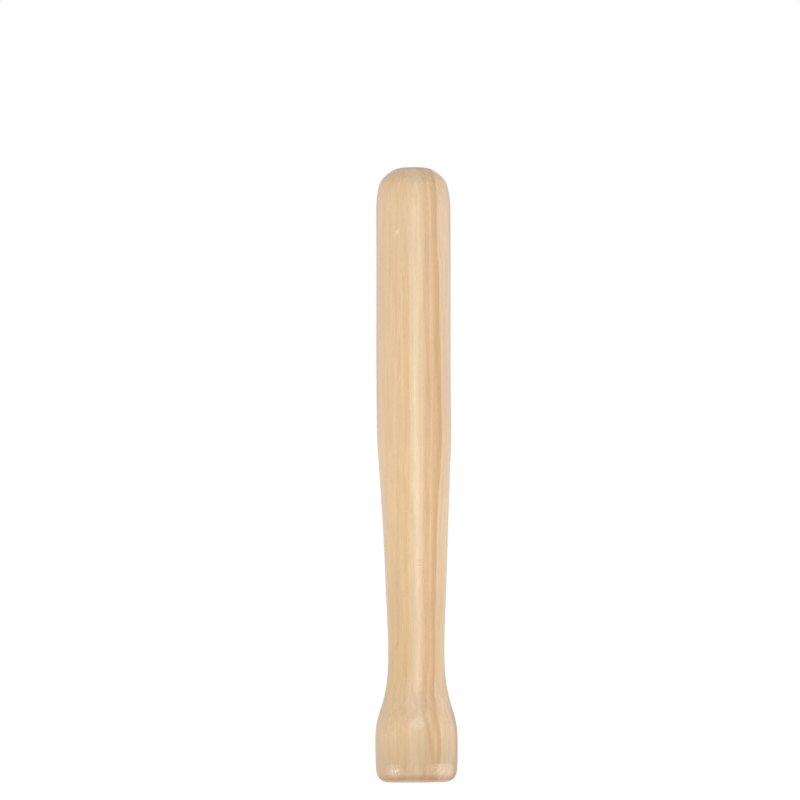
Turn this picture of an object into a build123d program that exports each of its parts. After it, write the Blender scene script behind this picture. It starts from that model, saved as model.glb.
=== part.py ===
from build123d import *

import os
from math import radians, tan

# A bar muddler: one length of pale close-grained hardwood, turned on a lathe.
# It stands on its flat mashing face. The origin is the centre of that face, and +Z runs up the
# turning axis to the domed end of the grip. Sizes are in millimetres.
# It is all one blank, with nothing joined, fitted or hollow. From the bottom up, the outline is
# a flat face, a rounded rim, a slightly tapered band that ends in a fine arris, a bulbous foot,
# a slim neck, a long swelling waist, a straight grip and a domed end.

os.makedirs("parts", exist_ok=True)

# Driving dimensions
overall_length = 235.0
foot_diameter = 31.5  # the widest place, at the belly of the foot
neck_diameter = 21.5  # the slimmest place
grip_diameter = 28.4  # the straight part of the handle

# Foot
rim_round = 4.6  # radius of the rounded edge of the mashing face
band_height = 7.1  # where the tapered band ends in its arris
band_taper = 4.0  # degrees, narrowing towards the mashing face
arris_step = 0.09  # how far the arris lies inside the belly
belly_height = 14.0

# Neck, grip and dome
neck_height = 48.5
grip_start = 147.0  # the grip is straight from here
dome_height = 16.5  # from the end of the straight grip to the tip

foot_radius = foot_diameter / 2
neck_radius = neck_diameter / 2
grip_radius = grip_diameter / 2
dome_start = overall_length - dome_height
arris_radius = foot_radius - arris_step
rim_radius = arris_radius - band_height * tan(radians(band_taper))  # before it is rounded

# Points that the outline passes through, as (radius, height). From the belly to the neck it is
# an ogee, and from the neck it swells slowly to the grip.
ogee = [(foot_radius - 0.6, 23.0), (foot_radius - 2.35, 29.0), (neck_radius + 1.02, 35.5)]
waist = [(neck_radius + 0.6, 69.0), (neck_radius + 1.74, 98.0), (grip_radius - 0.39, 124.0)]

# The dome's points, as (radius, drop below the tip)
dome = [(grip_radius - 0.6, 9.5), (grip_radius - 2.15, 4.95), (grip_radius - 5.2, 2.05)]
dome_points = [(radius, overall_length - drop) for radius, drop in dome]

# Below the belly the outline is close to a parabola, whose end slopes twice as much as its chord
arris_tangent = (2 * arris_step, belly_height - band_height)

with BuildPart() as turned_body:
    with BuildSketch(Plane.XZ):
        with BuildLine():
            Line((0, overall_length), (0, 0))
            Line((0, 0), (rim_radius, 0))
            Line((rim_radius, 0), (arris_radius, band_height))
            Spline(
                (arris_radius, band_height),
                (foot_radius, belly_height),
                *ogee,
                (neck_radius, neck_height),
                *waist,
                (grip_radius, grip_start),
                tangents=[arris_tangent, (0, 1)],
            )
            Line((grip_radius, grip_start), (grip_radius, dome_start))
            Spline(
                (grip_radius, dome_start),
                *dome_points,
                (0, overall_length),
                tangents=[(0, 1), (-1, 0)],
            )
        make_face()
        rim_corner = vertices().group_by(Axis.Y)[0].sort_by(Axis.X)[-1]
        fillet(rim_corner, radius=rim_round)
    revolve(axis=Axis.Z)

turned_body.part.label = "turned_body"
export_step(turned_body.part, "parts/turned_body.step")
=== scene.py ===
from math import atan2, cos, pi, radians, sin

import bpy
import numpy as np
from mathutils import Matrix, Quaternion, Vector


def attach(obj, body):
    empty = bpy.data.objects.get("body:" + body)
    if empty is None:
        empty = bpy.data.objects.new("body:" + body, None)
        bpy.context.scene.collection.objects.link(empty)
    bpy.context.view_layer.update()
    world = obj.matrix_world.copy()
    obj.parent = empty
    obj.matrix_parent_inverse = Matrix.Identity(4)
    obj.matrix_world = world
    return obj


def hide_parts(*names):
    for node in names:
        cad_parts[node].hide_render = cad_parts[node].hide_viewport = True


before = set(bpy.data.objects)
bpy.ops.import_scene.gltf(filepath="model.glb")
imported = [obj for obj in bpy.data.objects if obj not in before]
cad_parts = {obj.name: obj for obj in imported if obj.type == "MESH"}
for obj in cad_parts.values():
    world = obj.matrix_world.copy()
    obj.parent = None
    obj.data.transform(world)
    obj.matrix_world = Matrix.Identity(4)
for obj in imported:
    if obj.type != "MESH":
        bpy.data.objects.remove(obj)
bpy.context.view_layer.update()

# A turned wooden bar muddler, standing on its mashing face on a pale light table.
# Everything is in metres, in the frame of the CAD model: Z is the turning axis, the front is -Y.

mm = 0.001


def linear(hexColour):
    # sRGB hex to linear: c / 12.92 below 0.04045, ((c + 0.055) / 1.055) ^ 2.4 above
    parts = [int(hexColour[i : i + 2], 16) / 255 for i in (1, 3, 5)]
    return [c / 12.92 if c <= 0.04045 else ((c + 0.055) / 1.055) ** 2.4 for c in parts] + [1.0]


def addNode(tree, kind, sockets, out=0, **settings):
    # a node of this kind with its settings; each of its sockets gets a link or a value, and the
    # output that was asked for comes back
    node = tree.nodes.new("ShaderNode" + kind)
    for name, value in settings.items():
        setattr(node, name, value)
    for key, value in sockets.items():
        if isinstance(value, bpy.types.NodeSocket):
            tree.links.new(value, node.inputs[key])
        else:
            node.inputs[key].default_value = value
    return node.outputs[out] if len(node.outputs) else node


def newMaterial(name):
    material = bpy.data.materials.new(name)
    material.use_nodes = True
    material.node_tree.nodes.clear()
    return material, material.node_tree


# a long lens, level with the foot
camera = {
    "distance": 4.0,
    "height": 0.03,
    "aim": (-0.0055, 0.0, 0.146),
    "fieldSide": 0.3057,  # the square that the camera takes in at the muddler
    "roll": -0.35,  # degrees; the muddler leans a little to the left
    "sensor": 36,  # mm
    "reach": 100,
}


def makeCamera(setup):
    data = bpy.data.cameras.new("camera")
    place = Vector((setup["aim"][0], -setup["distance"], setup["height"]))
    sight = Vector(setup["aim"]) - place
    data.sensor_width = setup["sensor"]
    data.lens = data.sensor_width * sight.length / setup["fieldSide"]
    data.clip_end = setup["reach"]
    shot = bpy.data.objects.new("camera", data)
    bpy.context.scene.collection.objects.link(shot)
    shot.location = place
    shot.rotation_mode = "QUATERNION"
    lean = Quaternion((0, 0, 1), radians(setup["roll"]))
    shot.rotation_quaternion = sight.to_track_quat("-Z", "Y") @ lean
    bpy.context.scene.camera = shot


makeCamera(camera)
bpy.context.scene.view_settings.view_transform = "Standard"
print("camera ready")

# the muddler's one piece, turned from a single length of wood
body = {
    "around": 192,  # columns
    "rings": 300,
    "fineStep": 0.02 * mm,  # step of the fine outline that the rings are picked from
    "arrisRound": 0.12 * mm,  # sandpaper takes this much off a sharp edge
    "ringsPerTurn": 150,  # extra rings for each full turn of the outline
    "thinning": 0.35 * mm,  # CAD rings that stand closer than this are left out
    "straightRun": 20 * mm,  # a gap in the CAD outline longer than this is a straight run
    "arris": 7.1 * mm,  # its height
    "waveSeed": 7,
    "waves": 9,
    "waveSize": 0.022 * mm,  # all the waves together, at most; hand sanding leaves about this
    "waveLength": (28 * mm, 120 * mm),
    "waveFolds": 5,  # a wave has fewer bulges than this round the stick
    "calmBelow": 6 * mm,  # the waves die out below this height
    "calmWithin": 8 * mm,  # and within this distance of the axis
    # the stick has bent a little in drying: (mm up, mm to the right)
    "bend": [(0, 0.0), (18, 0.0), (38, 0.12), (85, 0.17), (150, -0.28), (212, 0.0), (235, 0.0)],
}


def cadOutline(node):
    # one (radius, height) for each height at which the CAD mesh has vertices, bottom to top,
    # starting at the middle of the flat face
    mesh = node.data
    points = np.empty(len(mesh.vertices) * 3, np.float32)
    mesh.vertices.foreach_get("co", points)
    x, y, z = points.reshape(-1, 3).astype(float).T
    level, which = np.unique(np.round(z, 6), return_inverse=True)
    radius = np.zeros(len(level))
    np.maximum.at(radius, which.ravel(), np.hypot(x, y))
    radius[-1] = 0
    return np.insert(radius, 0, 0.0), np.insert(level, 0, level[0])


def smoothOutline(radius, height, setup):
    # The outline as a cubic Hermite curve by chord length. A point's direction is the mean of
    # the chords on its two sides, the shorter one counting more. The flat face, the straight
    # run and the band below the arris keep their own chord's direction.
    points = np.stack([radius, height], 1)
    along = np.insert(np.cumsum(np.linalg.norm(np.diff(points, axis=0), axis=1)), 0, 0)
    kept = np.unique(np.floor(along / setup["thinning"]), return_index=True)[1]
    points = points[np.union1d(kept, len(points) - 1)]
    chord = np.linalg.norm(np.diff(points, axis=0), axis=1)
    along = np.insert(np.cumsum(chord), 0, 0)
    slope = np.diff(points, axis=0) / chord[:, None]
    before, after = chord[:-1, None], chord[1:, None]
    mean = (slope[:-1] * after + slope[1:] * before) / (before + after)
    leaving = np.vstack([slope[:1], mean, slope[-1:]])
    arriving = leaving.copy()
    plain = (chord > setup["straightRun"]) | (slope[:, 1] == 0)
    for run in np.flatnonzero(plain):
        leaving[run : run + 2] = arriving[run : run + 2] = slope[run]
    arris = np.argmin(np.abs(points[:, 1] - setup["arris"]))
    arriving[arris] = slope[arris - 1]
    leaving[arris] = 2 * slope[arris] - leaving[arris + 1]
    fine = np.linspace(0, along[-1], int(along[-1] / setup["fineStep"]))
    k = np.clip(np.searchsorted(along, fine, side="right") - 1, 0, len(chord) - 1)
    t = ((fine - along[k]) / chord[k])[:, None]
    step = chord[k][:, None]
    curve = (
        (2 * t**3 - 3 * t**2 + 1) * points[k]
        + (t**3 - 2 * t**2 + t) * step * leaving[k]
        + (3 * t**2 - 2 * t**3) * points[k + 1]
        + (t**3 - t**2) * step * arriving[k + 1]
    )
    # a running mean rounds the arris
    reach = int(setup["arrisRound"] / setup["fineStep"])
    padded = np.pad(curve, ((reach, reach), (0, 0)), mode="reflect", reflect_type="odd")
    kernel = np.ones(2 * reach + 1) / (2 * reach + 1)
    soft = np.stack([np.convolve(column, kernel, "valid") for column in padded.T], 1)
    soft[0], soft[-1] = curve[0], curve[-1]
    return soft


def pickRings(curve, setup):
    # rings stand evenly in length plus turning, so that round places get more of them
    step = np.diff(curve, axis=0)
    length = np.insert(np.cumsum(np.linalg.norm(step, axis=1)), 0, 0)
    heading = np.unwrap(np.arctan2(step[:, 1], step[:, 0]))
    turned = np.insert(np.cumsum(np.abs(np.diff(heading))), 0, [0, 0])
    extra = setup["ringsPerTurn"] * turned / (2 * pi)
    plain = (setup["rings"] - extra[-1]) * length / length[-1]
    spread = plain + extra
    wanted = np.linspace(0, spread[-1], setup["rings"])
    return np.stack([np.interp(wanted, spread, column) for column in (*curve.T, length)], 1)


def bentAxis(height, points):
    # the axis's sideways shift, eased from point to point by 3t^2 - 2t^3
    up, shift = np.array(points).T * mm
    k = np.clip(np.searchsorted(up, height, side="right") - 1, 0, len(up) - 2)
    t = np.clip((height - up[k]) / (up[k + 1] - up[k]), 0, 1)
    return shift[k] + (shift[k + 1] - shift[k]) * (3 * t**2 - 2 * t**3)


def turnedSurface(name, rings, setup):
    # point(angle, ring) = (r sin angle + shift, r cos angle, z), where r is the ring's radius
    # plus a sum of small sines of angle and height, and shift is how far the axis has bent
    # there. The seam, angle 0, is at the back.
    radius, height, length = rings[1:-1].T
    angle = np.arange(setup["around"]) * 2 * pi / setup["around"]
    rng = np.random.default_rng(setup["waveSeed"])
    folds = rng.integers(0, setup["waveFolds"], setup["waves"])
    pitch = rng.uniform(*setup["waveLength"], setup["waves"])
    phase = rng.uniform(0, 2 * pi, setup["waves"])
    beat = (
        folds[:, None, None] * angle[None, None, :]
        + 2 * pi * height[None, :, None] / pitch[:, None, None]
        + phase[:, None, None]
    )
    wave = np.sin(beat).mean(0) * setup["waveSize"]
    # the two ends stay flat and round
    calm = np.clip(height / setup["calmBelow"], 0, 1)
    calm *= np.clip(radius / setup["calmWithin"], 0, 1)
    r = radius[:, None] + wave * calm[:, None]
    x = r * np.sin(angle) + bentAxis(height, setup["bend"])[:, None]
    y = r * np.cos(angle)
    z = np.broadcast_to(height[:, None], r.shape)
    poles = [[0, 0, rings[0, 1]], [0, 0, rings[-1, 1]]]
    points = np.vstack([np.stack([x, y, z], -1).reshape(-1, 3), poles])
    rows, columns = r.shape
    i, j = (a.ravel() for a in np.mgrid[0 : rows - 1, 0:columns])
    after = (j + 1) % columns
    lower, upper = i * columns, (i + 1) * columns
    quads = np.stack([lower + j, upper + j, upper + after, lower + after], 1)
    c = np.arange(columns)
    around = (c + 1) % columns
    last = (rows - 1) * columns
    bottom, top = np.full(columns, rows * columns), np.full(columns, rows * columns + 1)
    under = np.stack([bottom, c, around], 1)
    over = np.stack([top, last + around, last + c], 1)
    mesh = bpy.data.meshes.new(name)
    mesh.from_pydata(points, [], [*quads.tolist(), *under.tolist(), *over.tolist()])
    # unwrapped round the axis: u is the angle, v the length along the outline
    u, v = c / columns, length / rings[-1, 2]
    du = 1 / columns
    left, right, start, end = u[j], u[j] + du, v[i], v[i + 1]
    quadUv = np.stack([left, start, left, end, right, end, right, start], 1)
    middle = u + du / 2
    low, high = np.full(columns, v[0]), np.full(columns, v[-1])
    underUv = np.stack([middle, 0 * u, u, low, u + du, low], 1)
    overUv = np.stack([middle, 0 * u + 1, u + du, high, u, high], 1)
    uv = np.concatenate([quadUv.ravel(), underUv.ravel(), overUv.ravel()])
    mesh.uv_layers.new(name="OFBake").data.foreach_set("uv", uv)
    # how far the outline leans from the turning axis, 0 on the sides and 1 on the two ends
    run = np.gradient(rings, axis=0)
    lean = np.abs(run[:, 0]) / np.hypot(run[:, 0], run[:, 1])
    ends = np.concatenate([np.repeat(lean[1:-1], columns), [1, 1]])
    mesh.attributes.new("endGrain", "FLOAT", "POINT").data.foreach_set("value", ends)
    mesh.polygons.foreach_set("use_smooth", np.ones(len(mesh.polygons), bool))
    mesh.update()
    piece = bpy.data.objects.new(name, mesh)
    bpy.context.scene.collection.objects.link(piece)
    return piece


cadRadius, cadHeight = cadOutline(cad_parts["turned_body"])
outline = smoothOutline(cadRadius, cadHeight, body)
muddler = turnedSurface("muddler_body", pickRings(outline, body), body)
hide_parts("turned_body")
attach(muddler, "root")
print("body ready:", len(muddler.data.polygons), "faces")

# Birch, turned on a lathe, sanded round and round, and sprayed with a thin satin lacquer. It
# shows long soft growth bands that darken slowly and then turn pale, fine fibre streaks, tiny
# pores and ray flecks, and a soft sheen from the lacquer. Lengths are in mm.
wood = {
    "pith": (-66.0, -23.0, 0.0),  # the heart of the tree, to the left and in front
    "blankFrom": 70.0,  # from the pith to the turning axis
    "rampFrom": -17.0,  # the growth rings, as distances outwards from the axis
    "rampTo": 19.0,
    # each ring: where it ends, its colours at the start, on the way and at the dark end, how wide
    # the dark is and how wide the change to the next ring is
    "rings": [
        (-12.0, "#e2c29c", "#e3c39e", "#dfc09a", 0.5, 0.9),
        (-8.8, "#dfbe95", "#dfbf95", "#dcbb90", 0.6, 1.0),
        (-5.4, "#debd93", "#ddbc91", "#dbb990", 0.9, 1.3),
        (2.5, "#ddc09b", "#dec29e", "#d5b18a", 0.8, 1.0),
        (7.4, "#deba91", "#d8b286", "#d0aa80", 1.1, 1.0),
        # this ring's middle is lighter, partly the wood's own tone and partly painted light for the
        # brighter right side of the foot
        (16.0, "#e2c49e", "#e6c8a4", "#d3af87", 0.5, 0.9),
        (18.8, "#e3c49d", "#e0c099", "#d8b68c", 0.9, 0.1),
    ],
    "ringMiddle": 0.6,
    "secondRing": (1.4, 5.0),  # the ring whose width changes along the length lies here
    "plain": "#ddbe97",  # what the bands fade to in places
    "pink": "#fffdff",
    "olive": "#fffffa",
    "warm": "#fffbf1",
    "length": 235.0,
    # what changes over the length: the least and the most, and (mm up, value)
    "alongLength": {
        "ringLean": (-2.0, 2.0, [
            (0, -1.8), (6, -1.3), (14, -0.4), (28, -1.1), (40, 0.0), (54, 0.8), (72, 0.6),
            (105, 0.6), (135, 0.7), (180, 0.45), (196, 0.45), (208, 0.6), (220, 0.5), (235, -1.0)]),
        "ringWiden": (-4.0, 1.0, [
            (0, -0.3), (14, -0.3), (28, -1.2), (40, -2.9), (54, -3.8), (72, -2.5), (90, -2.0),
            (108, -1.5), (130, -0.3), (150, -0.5), (190, -0.8), (208, -1.7), (220, -1.7),
            (235, -0.3)]),
        # darker towards the foot and paler at the top of the dome: partly the wood's own drift in
        # tone and partly painted shade and light
        "paleness": (0.7, 1.1, [
            (0, 0.82), (6, 0.84), (15, 0.905), (24, 0.985), (36, 0.985), (60, 0.945), (85, 0.985),
            (150, 0.99), (214, 1.0), (235, 1.07)]),
        "warmth": (-1.0, 1.0, [
            (0, 0.0), (14, -0.3), (24, -0.5), (36, 0.0), (50, 0.55), (70, 0.4), (90, 0.15),
            (110, 0.25), (135, 0.1), (180, -0.1), (205, -0.3), (235, -0.4)]),
    },
    # noise: the size of its lumps along X, Y and Z, its seed, and what it gives. Fibres, pores
    # and flecks are drawn about twice as wide as real ones, which would be too fine to show.
    "noise": {
        "growthSlow": {"size": (30, 30, 90), "seed": 3.1, "to": (-0.7, 0.7)},
        "growthBent": {"size": (7, 7, 45), "seed": 8.4, "to": (-0.4, 0.4)},
        "growthFringe": {"size": (1.3, 1.3, 16), "seed": 5.5, "to": (-0.3, 0.3)},
        "growthFibre": {"size": (0.5, 0.5, 7), "seed": 4.3, "to": (-0.2, 0.2)},
        "fade": {"size": (6, 6, 50), "seed": 9.7, "from": (0.40, 0.75), "to": (0.0, 0.35)},
        "hue": {"size": (5, 5, 45), "seed": 1.3, "detail": 4.0, "from": (0.32, 0.68),
                "to": (0.0, 1.0)},
        "streakWide": {"size": (1.2, 1.2, 40), "seed": 1.7, "to": (0.87, 1.13)},
        "streakFine": {"size": (0.4, 0.4, 14), "seed": 6.2, "to": (0.88, 1.12)},
        "fibres": {"size": (0.15, 0.15, 1.8), "seed": 7.9, "to": (0.92, 1.08)},
        "silk": {"size": (3, 3, 9), "seed": 2.6, "to": (0.96, 1.04)},
        "pores": {"size": (0.11, 0.11, 2.0), "seed": 3.3, "detail": 0.0, "from": (0.70, 0.78),
                  "to": (1.0, 0.86)},
        "rayFlecks": {"radial": True, "size": (3.0, 0.14, 0.5), "seed": 6.6, "detail": 1.0,
                      "from": (0.62, 0.74), "to": (1.0, 1.05)},
        "speckle": {"size": (0.5, 0.5, 0.6), "seed": 4.9, "from": (0.42, 0.62), "to": (0.35, 1.0)},
        "raised": {"size": (0.3, 0.3, 8), "seed": 5.1, "to": (0.0, 0.004)},
        "sanding": {"size": (6, 6, 0.22), "seed": 8.8, "detail": 3.0, "to": (0.0, 0.005)},
        "orangePeel": {"size": (0.9, 0.9, 1.1), "seed": 7.4, "to": (0.0, 0.003)},
        "gloss": {"size": (0.5, 0.5, 6), "seed": 2.2, "to": (0.24, 0.34)},
    },
    # End grain drinks more lacquer. The rim round the mashing face is darker towards the floor,
    # which is painted shade, and its lowest edge is paler, which is a painted reflection of the
    # light table. Each goes by the height or the outline's lean, and its strength changes over that
    # range.
    "ends": {
        "endGrain": {"by": "lean", "over": (0.8, 1.0), "strength": (0.0, 0.5),
                     "colour": "#e2d5c2", "blend": "MULTIPLY"},
        # darker towards the floor: painted shade
        "rimStain": {"by": "up", "over": (0.6, 4.0), "strength": (1.0, 0.0),
                     "colour": "#dbd3c8", "blend": "MULTIPLY"},
        # paler at the lowest edge: painted reflection of the light table
        "scuffed": {"by": "up", "over": (0.2, 1.3), "strength": (0.55, 0.0),
                    "colour": "#dacfc0", "blend": "MIX"},
    },
    "arris": (6.95, 7.25),
    "markCore": 0.2,  # the part of a mark that has its full strength
    "markDepth": 2.5,  # a mark's least half depth
    # Rubbed and bruised places, small flaws and painted light: degrees round from the front,
    # height, radius there, half width, half height, lean in degrees, colour and strength. The
    # patches in the first two groups are speckled.
    # pale patches on the tapered band below the arris: painted reflections of the bright floor
    "paintedRimReflections": [
        (-35, 4.4, 15.3, 5.2, 3.7, 0, "#f4e6d2", 0.42),
        (42, 5.0, 15.3, 9.0, 4.6, 0, "#f4e6d2", 0.50),
        (152, 4.6, 15.3, 8.0, 3.8, 0, "#f4e6d2", 0.55),
    ],
    # the first is a painted sheen on the front of the belly, the second a darker worn place, the
    # third a pale patch on the back of the belly
    "rubbedAndSheen": [
        (2, 22.5, 15.2, 4.2, 3.6, 0, "#f3d9c0", 0.5),
        (-24, 27.7, 13.8, 3.0, 1.7, 50, "#cba873", 0.5),
        (172, 19.0, 15.5, 3.4, 2.6, 0, "#efd6ba", 0.45),
    ],
    "marksAndGlints": [  # the first three are soft streaks on the foot
        (3, 14.5, 15.6, 3.2, 11.0, 0, "#c0a07e", 0.4),
        (19.5, 15.5, 15.6, 1.3, 11.5, -6, "#bf9469", 0.5),
        (28, 15.0, 15.6, 0.9, 10.0, 0, "#e0c39d", 0.5),
        # the next three are painted glints, white flecks of reflected light on the rim
        (-37, 4.4, 15.4, 0.4, 1.1, 8, "#fff6e8", 0.5),
        (-32, 4.2, 15.4, 0.4, 1.1, 8, "#fff6e8", 0.7),
        (-28, 4.6, 15.4, 0.4, 0.9, 8, "#fff6e8", 0.6),
        (1, 27.6, 13.9, 0.3, 1.5, -6, "#bf9669", 0.5),
        (-42, 52.3, 10.8, 0.8, 3.2, 28, "#c29768", 0.5),
        (8, 84.6, 11.7, 2.4, 0.4, 1, "#c39b71", 0.3),
        (8, 83.8, 11.7, 2.2, 0.4, 0, "#c39b71", 0.25),
        (8, 82.8, 11.7, 2.6, 0.4, -1, "#c39b71", 0.3),
        (-23, 154.0, 14.2, 0.7, 1.8, 12, "#efd5ae", 0.3),
        (-26, 209.6, 14.2, 1.0, 2.2, 35, "#efd8b2", 0.5),
        (118, 176.0, 14.2, 0.6, 2.4, -15, "#b98c60", 0.5),
        (-140, 61.0, 11.0, 0.5, 2.0, 22, "#b98c60", 0.5),
    ],
    # the lacquer; its roughness is the noise called gloss, and the foot has lost some shine
    "ior": 1.5,
    "coatWeight": 0.12,
    "coatRoughness": 0.22,
    "dullFoot": {"over": (18.0, 34.0), "roughness": (0.24, 0.0)},
}


def woodNoise(tree, setup, grain):
    # ray flecks run outwards from the pith, everything else along X, Y and Z
    outwards = atan2(-setup["pith"][1], -setup["pith"][0])
    radial = addNode(tree, "VectorRotate", {"Vector": grain, "Angle": -outwards},
                     rotation_type="Z_AXIS")
    noise = {}
    for name, layer in setup["noise"].items():
        lumps = addNode(tree, "Mapping", {
            "Vector": radial if layer.get("radial") else grain,
            "Location": [layer["seed"]] * 3,
            "Scale": [1 / size for size in layer["size"]],
        })
        raw = addNode(tree, "TexNoise", {"Vector": lumps, "Scale": 1.0,
                                         "Detail": layer.get("detail", 2.0)}, out="Fac")
        low, high = layer.get("from", (0.0, 1.0))
        noise[name] = addNode(
            tree, "MapRange", {0: raw, 1: low, 2: high, 3: layer["to"][0], 4: layer["to"][1]},
            interpolation_type="SMOOTHSTEP" if "from" in layer else "LINEAR")
    return noise


def lengthCurves(tree, setup, up):
    # one smooth curve of the height for each value that changes over the length
    share = addNode(tree, "Math", {0: up, 1: setup["length"]}, operation="DIVIDE")
    along = {}
    for name, (least, most, points) in setup["alongLength"].items():
        eased = addNode(tree, "FloatCurve", {"Value": share})
        dots = eased.node.mapping.curves[0].points
        while len(dots) < len(points):
            dots.new(0.5, 0.5)
        for dot, (height, value) in zip(dots, points):
            dot.location = height / setup["length"], (value - least) / (most - least)
        eased.node.mapping.update()
        along[name] = addNode(tree, "Math", {0: eased, 1: most - least, 2: least},
                              operation="MULTIPLY_ADD")
    return along


def growthBands(tree, setup, grain, noise, along):
    # the distance from the pith less that of the axis, bent by slow waves and coloured by rings
    flat = addNode(tree, "VectorMath", {0: grain, 1: (1.0, 1.0, 0.0)}, operation="MULTIPLY")
    away = addNode(tree, "VectorMath", {0: flat, 1: setup["pith"]}, out="Value",
                   operation="DISTANCE")
    ring = addNode(tree, "Math", {0: away, 1: setup["blankFrom"]}, operation="SUBTRACT")
    ring = addNode(tree, "Math", {0: ring, 1: along["ringLean"]}, operation="SUBTRACT")
    for name in ("growthSlow", "growthBent", "growthFringe", "growthFibre"):
        ring = addNode(tree, "Math", {0: ring, 1: noise[name]}, operation="ADD")
    beyond = addNode(tree, "MapRange", {0: ring, 1: setup["secondRing"][0],
                                        2: setup["secondRing"][1], 3: 0.0, 4: -1.0})
    ring = addNode(tree, "Math", {0: beyond, 1: along["ringWiden"], 2: ring},
                   operation="MULTIPLY_ADD")
    ring = addNode(tree, "MapRange", {0: ring, 1: setup["rampFrom"], 2: setup["rampTo"]})
    bands = addNode(tree, "ValToRGB", {"Fac": ring}, out="Color")
    stops = []
    begins = setup["rampFrom"]
    for ends, pale, middle, dark, darkWidth, change in setup["rings"]:
        darkens = ends - change - darkWidth
        stops += [
            (begins, pale),
            (begins + (darkens - begins) * setup["ringMiddle"], middle),
            (darkens, dark),
            (ends - change, dark),
        ]
        begins = ends
    ramp = bands.node.color_ramp
    ramp.interpolation = "EASE"
    while len(ramp.elements) < len(stops):
        ramp.elements.new(0.5)
    for element, (at, colour) in zip(ramp.elements, stops):
        element.position = (at - setup["rampFrom"]) / (setup["rampTo"] - setup["rampFrom"])
        element.color = linear(colour)
    return bands


def marksAndPaintedLight(tree, setup, colour, grain, up, speckle):
    # Rubbed places, bruises, glints and the painted reflections and sheen are soft ellipsoids: the
    # distance from the middle, in half widths, falls off to nothing at 1. The painted reflections
    # on the tapered band stop at the arris.
    below = addNode(tree, "MapRange", {0: up, 1: setup["arris"][0], 2: setup["arris"][1],
                                       3: 1.0, 4: 0.0})
    for group in ("marksAndGlints", "rubbedAndSheen", "paintedRimReflections"):
        for angle, height, radius, halfWidth, halfHeight, tilt, mark, strength in setup[group]:
            side = radians(angle)
            local = addNode(tree, "Mapping", {
                "Vector": grain,
                "Location": (radius * sin(side), -radius * cos(side), height),
                "Rotation": (0.0, radians(tilt), side),
                "Scale": (halfWidth, max(halfWidth, setup["markDepth"]), halfHeight),
            }, vector_type="TEXTURE")
            off = addNode(tree, "VectorMath", {0: local}, out="Value", operation="LENGTH")
            near = addNode(tree, "MapRange", {0: off, 1: setup["markCore"], 2: 1.0,
                                              3: strength, 4: 0.0},
                           interpolation_type="SMOOTHSTEP")
            if group == "paintedRimReflections":
                near = addNode(tree, "Math", {0: near, 1: below}, operation="MULTIPLY")
            if group != "marksAndGlints":
                near = addNode(tree, "Math", {0: near, 1: speckle}, operation="MULTIPLY")
            colour = addNode(tree, "Mix", {0: near, 6: colour, 7: linear(mark)}, out=2,
                             data_type="RGBA")
    return colour


def makeWood(setup):
    material, tree = newMaterial("birchTurnedSatinLacquer")
    place = addNode(tree, "TexCoord", {}, out="Object")
    grain = addNode(tree, "VectorMath", {0: place, 3: 1 / mm}, operation="SCALE")
    up = addNode(tree, "SeparateXYZ", {0: grain}, out="Z")
    noise = woodNoise(tree, setup, grain)
    along = lengthCurves(tree, setup, up)
    colour = growthBands(tree, setup, grain, noise, along)

    # the bands fade here and there, and the wood turns pinker, yellower and warmer in places;
    # below nothing on its curve, warmth cools
    colour = addNode(tree, "Mix", {0: noise["fade"], 6: colour, 7: linear(setup["plain"])},
                     out=2, data_type="RGBA")
    hue = addNode(tree, "Mix", {0: noise["hue"], 6: linear(setup["pink"]),
                                7: linear(setup["olive"])}, out=2, data_type="RGBA")
    colour = addNode(tree, "Mix", {0: 1.0, 6: colour, 7: hue}, out=2, data_type="RGBA",
                     blend_type="MULTIPLY")
    colour = addNode(tree, "Mix", {0: along["warmth"], 6: colour, 7: linear(setup["warm"])},
                     out=2, data_type="RGBA", blend_type="MULTIPLY", clamp_factor=False)

    # the tone and painted shade along the length, and streaks, fibres, pores and flecks, make it
    # paler or darker
    tone = along["paleness"]
    for name in ("streakWide", "streakFine", "fibres", "silk", "pores", "rayFlecks"):
        tone = addNode(tree, "Math", {0: tone, 1: noise[name]}, operation="MULTIPLY")
    colour = addNode(tree, "VectorMath", {0: colour, 3: tone}, operation="SCALE")

    reaches = {"lean": addNode(tree, "Attribute", {}, out="Fac", attribute_name="endGrain"),
               "up": up}
    for end in setup["ends"].values():
        share = addNode(tree, "MapRange", {
            0: reaches[end["by"]],
            1: end["over"][0],
            2: end["over"][1],
            3: end["strength"][0],
            4: end["strength"][1],
        }, interpolation_type="SMOOTHSTEP")
        colour = addNode(tree, "Mix", {0: share, 6: colour, 7: linear(end["colour"])}, out=2,
                         data_type="RGBA", blend_type=end["blend"])
    colour = marksAndPaintedLight(tree, setup, colour, grain, up, noise["speckle"])

    # relief in mm: raised fibres, sanding lines round the axis, and orange peel in the lacquer
    relief = noise["raised"]
    for name in ("sanding", "orangePeel"):
        relief = addNode(tree, "Math", {0: relief, 1: noise[name]}, operation="ADD")
    bump = addNode(tree, "Bump", {"Height": relief, "Distance": mm, "Strength": 1.0})

    foot = setup["dullFoot"]
    dull = addNode(tree, "MapRange", {0: up, 1: foot["over"][0], 2: foot["over"][1],
                                      3: foot["roughness"][0], 4: foot["roughness"][1]},
                   interpolation_type="SMOOTHSTEP")
    rough = addNode(tree, "Math", {0: noise["gloss"], 1: dull}, operation="ADD")
    shader = addNode(tree, "BsdfPrincipled", {
        "Base Color": colour,
        "Roughness": rough,
        "Normal": bump,
        "IOR": setup["ior"],
        "Coat Weight": setup["coatWeight"],
        "Coat Roughness": setup["coatRoughness"],
        "Coat IOR": setup["ior"],
        "Coat Normal": bump,
    })
    addNode(tree, "OutputMaterial", {"Surface": shader})
    return material


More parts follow.
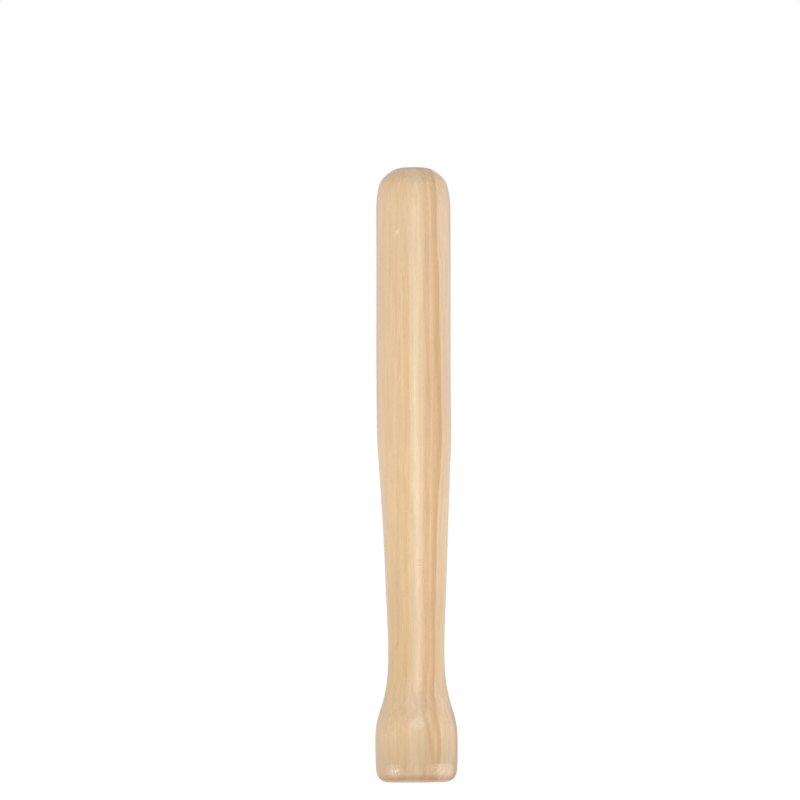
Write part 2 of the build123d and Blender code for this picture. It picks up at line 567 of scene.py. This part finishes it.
muddler.data.materials.append(makeWood(wood))
print("wood ready")

# a white light table, a narrow softbox near the camera, a broad one above and pale surroundings
studio = {
    "white": "#ffffff",
    "floorColour": "#f2f2f0",
    "floorRoughness": 0.8,
    "floorRadius": 30.0,
    "floorSides": 64,
    "floorDrop": 0.2 * mm,  # below the mashing face, so that the two don't share a plane
    "floorGlow": 0.50,
    "surroundings": 0.68,
    # size, distance from the axis, degrees to the right of the camera, height, watts, and the
    # height that it faces
    "keySoftbox": ((0.16, 0.22), 0.5, 5.0, 0.105, 0.42, 0.105),
    "broadFill": ((2.6, 2.0), 2.0, 0.0, 0.9, 1.5, 0.12),
}


def makeFloor(setup):
    # a disc: edge point(angle) = (radius cos angle, radius sin angle, just below the foot)
    mesh = bpy.data.meshes.new("floor")
    turn = np.arange(setup["floorSides"]) * 2 * pi / setup["floorSides"]
    edge = np.stack([np.cos(turn), np.sin(turn), 0 * turn], 1) * setup["floorRadius"]
    edge[:, 2] = -setup["floorDrop"]
    mesh.from_pydata(edge.tolist(), [], [list(range(setup["floorSides"]))])
    floor = bpy.data.objects.new("floor", mesh)
    bpy.context.scene.collection.objects.link(floor)
    material, tree = newMaterial("whiteMattLightTable")
    shader = addNode(tree, "BsdfPrincipled", {
        "Base Color": linear(setup["floorColour"]),
        "Roughness": setup["floorRoughness"],
        "Emission Color": linear(setup["white"]),
        "Emission Strength": setup["floorGlow"],
    })
    addNode(tree, "OutputMaterial", {"Surface": shader})
    mesh.materials.append(material)


def softbox(name, size, away, side, height, watts, aim):
    # an area light that the camera doesn't see
    data = bpy.data.lights.new(name, "AREA")
    data.shape = "RECTANGLE"
    data.size, data.size_y = size
    data.energy = watts
    light = bpy.data.objects.new(name, data)
    bpy.context.scene.collection.objects.link(light)
    light.location = (away * sin(radians(side)), -away * cos(radians(side)), height)
    sight = Vector((0, 0, aim)) - light.location
    light.rotation_euler = sight.to_track_quat("-Z", "Y").to_euler()
    light.visible_camera = False


def makeSurroundings(setup):
    # pale all round; the camera sees plain white
    world = bpy.data.worlds.new("surroundings")
    world.use_nodes = True
    tree = world.node_tree
    tree.nodes.clear()
    seen = addNode(tree, "LightPath", {}, out="Is Camera Ray")
    around = addNode(tree, "Background", {"Color": linear(setup["white"]),
                                          "Strength": setup["surroundings"]})
    white = addNode(tree, "Background", {"Color": linear(setup["white"]), "Strength": 1.0})
    both = addNode(tree, "MixShader", {0: seen, 1: around, 2: white})
    addNode(tree, "OutputWorld", {"Surface": both})
    bpy.context.scene.world = world


makeFloor(studio)
softbox("keySoftbox", *studio["keySoftbox"])
softbox("broadFill", *studio["broadFill"])
makeSurroundings(studio)
print("studio ready")
